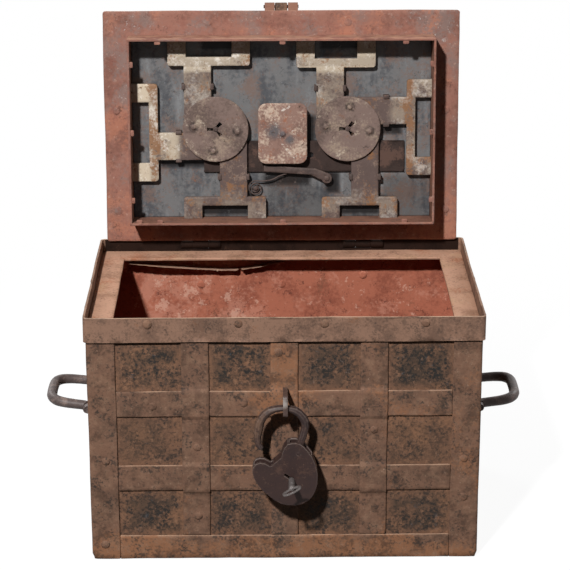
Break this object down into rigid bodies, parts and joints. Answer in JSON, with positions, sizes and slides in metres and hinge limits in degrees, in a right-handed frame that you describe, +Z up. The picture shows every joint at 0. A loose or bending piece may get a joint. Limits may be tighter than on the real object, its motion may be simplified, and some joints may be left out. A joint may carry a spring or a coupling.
{
  "type": "armada chest",
  "caption": "Strapped iron strongbox with an open hinged lid carrying a many-bolt lock inside, drop handles, hasp, staple and a hanging heart padlock with its key.",
  "frame": {"origin": "middle of the bottom plate's underside", "axes": "+Z up, -Y out of the front with the staple and padlock, +X to the viewer's right"},
  "size_m": [0.7042, 0.5173, 0.735],
  "materials": {
    "strap": "brown rust, matt",
    "sheet": "blackened and rusted sheet",
    "rim": "tan, worn",
    "lid": "red-brown paint, worn",
    "lock": "blue-grey, dull",
    "bolt": "bare iron with rust",
    "works": "brown, dull",
    "padlock": "dark, satin",
    "handle": "dark, satin",
    "lining": "torn lining strip"
  },
  "bodies": {
    "chest": {"back_left_corner": "strap", "back_plate": "sheet", "back_right_corner": "strap", "back_strap_lattice": "strap", "bottom_plate": "sheet", "front_centre_strap": "strap", "front_foot_strap": "strap", "front_left_corner": "strap", "front_left_strap": "strap", "front_lower_strap": "strap", "front_plate": "sheet", "front_right_corner": "strap", "front_right_strap": "strap", "front_upper_strap": "strap", "hinge_leaf_left": "strap", "hinge_leaf_right": "strap", "hinge_pin_left": "strap", "hinge_pin_right": "strap", "left_back_handle_eye": "handle", "left_front_handle_eye": "handle", "left_plate": "sheet", "left_strap_lattice": "strap", "right_back_handle_eye": "handle", "right_front_handle_eye": "handle", "right_plate": "sheet", "right_strap_lattice": "strap", "rim_band": "strap", "rim_flange": "rim", "staple": "padlock", "torn_lining": "lining"},
    "lid": {"lid_back_cross_strap": "strap", "lid_front_cross_strap": "strap", "lid_hasp_strap": "strap", "lid_hinge_strap_left": "strap", "lid_hinge_strap_right": "strap", "lid_left_strap": "strap", "lid_plate": "lid", "lid_right_strap": "strap", "lock_frame": "lid", "lock_plate": "lock", "key_cover": "works", "lever_spring": "works", "hasp_pin": "strap"},
    "front_left_bolt": {"front_left_bolt": "bolt"},
    "front_right_bolt": {"front_right_bolt": "bolt"},
    "left_bolt": {"left_bolt": "bolt"},
    "right_bolt": {"right_bolt": "bolt"},
    "back_left_bolt": {"back_left_bolt": "bolt"},
    "back_right_bolt": {"back_right_bolt": "bolt"},
    "drive_bar": {"drive_bar": "works"},
    "left_rotor": {"left_rotor": "works"},
    "right_rotor": {"right_rotor": "works"},
    "catch_lever": {"catch_lever": "works"},
    "hasp": {"hasp": "strap"},
    "left_handle": {"left_handle": "handle"},
    "right_handle": {"right_handle": "handle"},
    "padlock_shackle": {"padlock_shackle": "padlock"},
    "padlock_key": {"padlock_key": "padlock"},
    "padlock_body": {"padlock_body": "padlock", "padlock_rivet": "padlock"}
  },
  "joints": [
    {"name": "lid_hinge", "type": "hinge", "parent": "chest", "child": "lid", "pos_m": [0, 0.1868, 0.3629], "axis": [1, 0, 0], "range_deg": [0, 95.2]},
    {"name": "hasp_hinge", "type": "hinge", "parent": "lid", "child": "hasp", "pos_m": [0, 0.23717, 0.72884], "axis": [1, 0, 0], "range_deg": [0, 230]},
    {"name": "drive_bar_slide", "type": "slide", "parent": "lid", "child": "drive_bar", "axis": [-1, 0, 0], "range_m": [0, 0.0164]},
    {"name": "left_rotor_turn", "type": "hinge", "parent": "lid", "child": "left_rotor", "pos_m": [-0.1015, 0.17884, 0.55019], "axis": [0, 0.9959, -0.0906], "range_deg": [0, 30]},
    {"name": "right_rotor_turn", "type": "hinge", "parent": "lid", "child": "right_rotor", "pos_m": [0.1015, 0.17884, 0.55019], "axis": [0, 0.9959, -0.0906], "range_deg": [0, 30]},
    {"name": "front_left_bolt_slide", "type": "slide", "parent": "lid", "child": "front_left_bolt", "axis": [0, 0.0906, 0.9959], "range_m": [0, 0.0165]},
    {"name": "front_right_bolt_slide", "type": "slide", "parent": "lid", "child": "front_right_bolt", "axis": [0, 0.0906, 0.9959], "range_m": [0, 0.0165]},
    {"name": "left_bolt_slide", "type": "slide", "parent": "lid", "child": "left_bolt", "axis": [-1, 0, 0], "range_m": [0, 0.0165]},
    {"name": "right_bolt_slide", "type": "slide", "parent": "lid", "child": "right_bolt", "axis": [1, 0, 0], "range_m": [0, 0.0165]},
    {"name": "back_left_bolt_slide", "type": "slide", "parent": "lid", "child": "back_left_bolt", "axis": [0, -0.0906, -0.9959], "range_m": [0, 0.0165]},
    {"name": "back_right_bolt_slide", "type": "slide", "parent": "lid", "child": "back_right_bolt", "axis": [0, -0.0906, -0.9959], "range_m": [0, 0.0165]},
    {"name": "catch_lever_turn", "type": "hinge", "parent": "lid", "child": "catch_lever", "pos_m": [0.0695, 0.17815, 0.47193], "axis": [0, 0.9959, -0.0906], "range_deg": [0, 1.95]},
    {"name": "left_handle_swing", "type": "hinge", "parent": "chest", "child": "left_handle", "pos_m": [-0.291, 0, 0.1875], "axis": [0, -1, 0], "range_deg": [-80, 95]},
    {"name": "right_handle_swing", "type": "hinge", "parent": "chest", "child": "right_handle", "pos_m": [0.291, 0, 0.1875], "axis": [0, 1, 0], "range_deg": [-80, 95]},
    {"name": "shackle_swing", "type": "hinge", "parent": "chest", "child": "padlock_shackle", "pos_m": [-0.003, -0.213, 0.2138], "axis": [0, 1, 0], "range_deg": [-12, 12]},
    {"name": "padlock_swing", "type": "hinge", "parent": "padlock_shackle", "child": "padlock_body", "pos_m": [0.0195, -0.213, 0.181], "axis": [0, 1, 0], "range_deg": [-30, 32]},
    {"name": "key_turn", "type": "hinge", "parent": "padlock_body", "child": "padlock_key", "pos_m": [0.00934, -0.213, 0.1414], "axis": [0, 1, 0], "range_deg": [0, 90]}
  ],
  "couplings": [
    {"joint": "left_rotor_turn", "follows": "drive_bar_slide", "rad_per_m": 31.867},
    {"joint": "right_rotor_turn", "follows": "drive_bar_slide", "rad_per_m": 31.867},
    {"joint": "front_left_bolt_slide", "follows": "drive_bar_slide", "ratio": 1},
    {"joint": "front_right_bolt_slide", "follows": "drive_bar_slide", "ratio": 1},
    {"joint": "left_bolt_slide", "follows": "drive_bar_slide", "ratio": 1},
    {"joint": "right_bolt_slide", "follows": "drive_bar_slide", "ratio": 1},
    {"joint": "back_left_bolt_slide", "follows": "drive_bar_slide", "ratio": 1},
    {"joint": "back_right_bolt_slide", "follows": "drive_bar_slide", "ratio": 1},
    {"joint": "catch_lever_turn", "follows": "drive_bar_slide", "rad_per_m": 2.0401}
  ]
}
